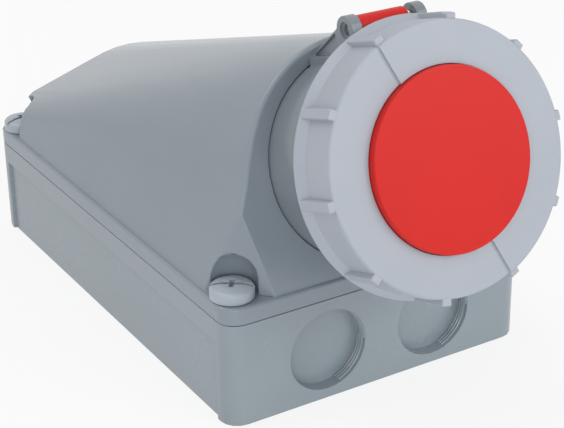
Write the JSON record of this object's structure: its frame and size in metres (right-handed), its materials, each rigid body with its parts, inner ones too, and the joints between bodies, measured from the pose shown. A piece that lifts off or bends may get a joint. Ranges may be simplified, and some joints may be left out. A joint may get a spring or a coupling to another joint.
{
  "type": "industrial wall socket",
  "caption": "Surface-mounting industrial socket outlet on a sloping hood and back box, with a sprung hinged lid and a bayonet locking ring.",
  "frame": {"origin": "centre of the back box's rear face, which lies against the wall", "axes": "+Z away from the wall, the socket looks out over the -Y end, +X across the box"},
  "size_m": [0.169, 0.3345, 0.1919],
  "materials": {
    "box_grey": "satin moulded grey plastic",
    "hood_grey": "glossy moulded grey plastic",
    "housing_grey": "glossy moulded grey plastic",
    "ring_grey": "fine matt light grey plastic",
    "lid_red": "satin red plastic",
    "screw_grey": "glossy light grey plastic",
    "insert_black": "matt black moulded insulation",
    "seal_rubber": "matt black seal",
    "brass": "turned brass",
    "steel": "plated steel"
  },
  "bodies": {
    "enclosure": {"base_box": "box_grey", "cover_hood": "hood_grey", "cover_gasket": "seal_rubber", "cover_screw_front_left": "screw_grey", "cover_screw_front_right": "screw_grey", "cover_screw_rear_left": "screw_grey", "cover_screw_rear_right": "screw_grey", "socket_housing": "housing_grey", "housing_gasket": "seal_rubber", "housing_screw_left": "steel", "housing_screw_right": "steel", "contact_carrier": "insert_black", "contact_earth": "brass", "contact_neutral": "brass", "contact_phase_1": "brass", "contact_phase_2": "brass", "contact_phase_3": "brass", "contact_pilot": "brass", "clamp_screw_earth": "steel", "clamp_screw_neutral": "steel", "clamp_screw_phase_1": "steel", "clamp_screw_phase_2": "steel", "clamp_screw_phase_3": "steel", "hinge_pin": "steel", "lid_spring": "steel"},
    "lid": {"lid": "lid_red", "lid_gasket": "seal_rubber"},
    "lock_ring": {"locking_ring": "ring_grey"}
  },
  "joints": [
    {"name": "lid_hinge", "type": "hinge", "parent": "enclosure", "child": "lid", "pos_m": [0, -0.13013, 0.18113], "axis": [-1, 0, 0], "range_deg": [0, 140], "stiffness_Nm_per_rad": 0.1, "springref_deg": -45.84},
    {"name": "ring_turn", "type": "hinge", "parent": "lid", "child": "lock_ring", "pos_m": [0, -0.18316, 0.13455], "axis": [0, 0.9519, -0.3065], "range_deg": [0, 40]}
  ]
}
